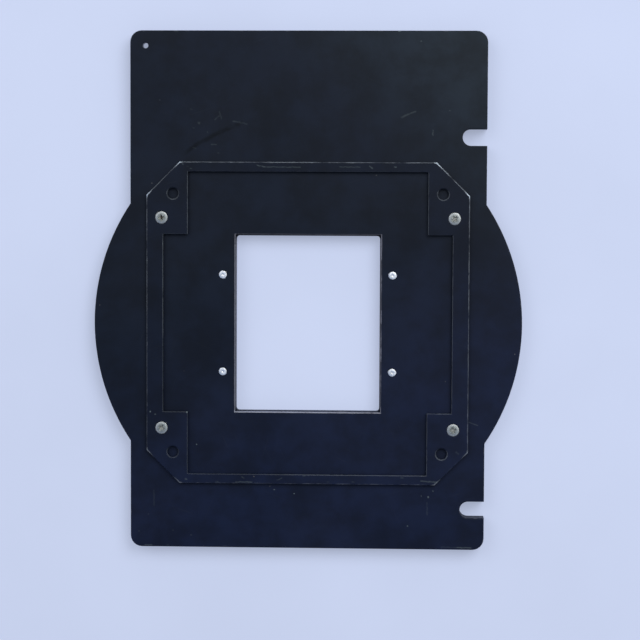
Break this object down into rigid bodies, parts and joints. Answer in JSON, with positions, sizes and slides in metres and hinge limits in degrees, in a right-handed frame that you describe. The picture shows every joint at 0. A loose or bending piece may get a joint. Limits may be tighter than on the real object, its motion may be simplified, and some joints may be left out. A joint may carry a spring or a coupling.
{
  "type": "negative carrier",
  "caption": "Flat enlarger film holder: round-lobed leaves with a picture window, film guide pins, edge slots and a raised octagonal locating frame; the front leaf lifts off.",
  "frame": {"origin": "centre of the carrier's outline, on the surface that the back leaf rests on; the picture window's centre lies 12.5 mm from it towards -Y", "axes": "+X across the carrier towards the edge with the two slots, +Y along its length towards the end with the hanging hole, +Z out of the front face, through the leaves towards the locating frame"},
  "size_m": [0.1652, 0.1998, 0.0086],
  "materials": {
    "plate_black": "satin black anodised",
    "frame_black": "satin black anodised, worn along the edges",
    "screw_zinc": "dull zinc plated",
    "pin_steel": "bright turned"
  },
  "bodies": {
    "back_leaf": {"back_plate": "plate_black"},
    "front_leaf": {"front_plate": "plate_black", "locating_frame": "frame_black", "frame_screw_top_left": "screw_zinc", "frame_screw_top_right": "screw_zinc", "frame_screw_bottom_left": "screw_zinc", "frame_screw_bottom_right": "screw_zinc", "guide_pin_top_left": "pin_steel", "guide_pin_top_right": "pin_steel", "guide_pin_bottom_left": "pin_steel", "guide_pin_bottom_right": "pin_steel"}
  },
  "joints": [
    {"name": "front_leaf_lift", "type": "slide", "parent": "back_leaf", "child": "front_leaf", "axis": [0, 0, 1], "range_m": [0, 0.02]}
  ]
}
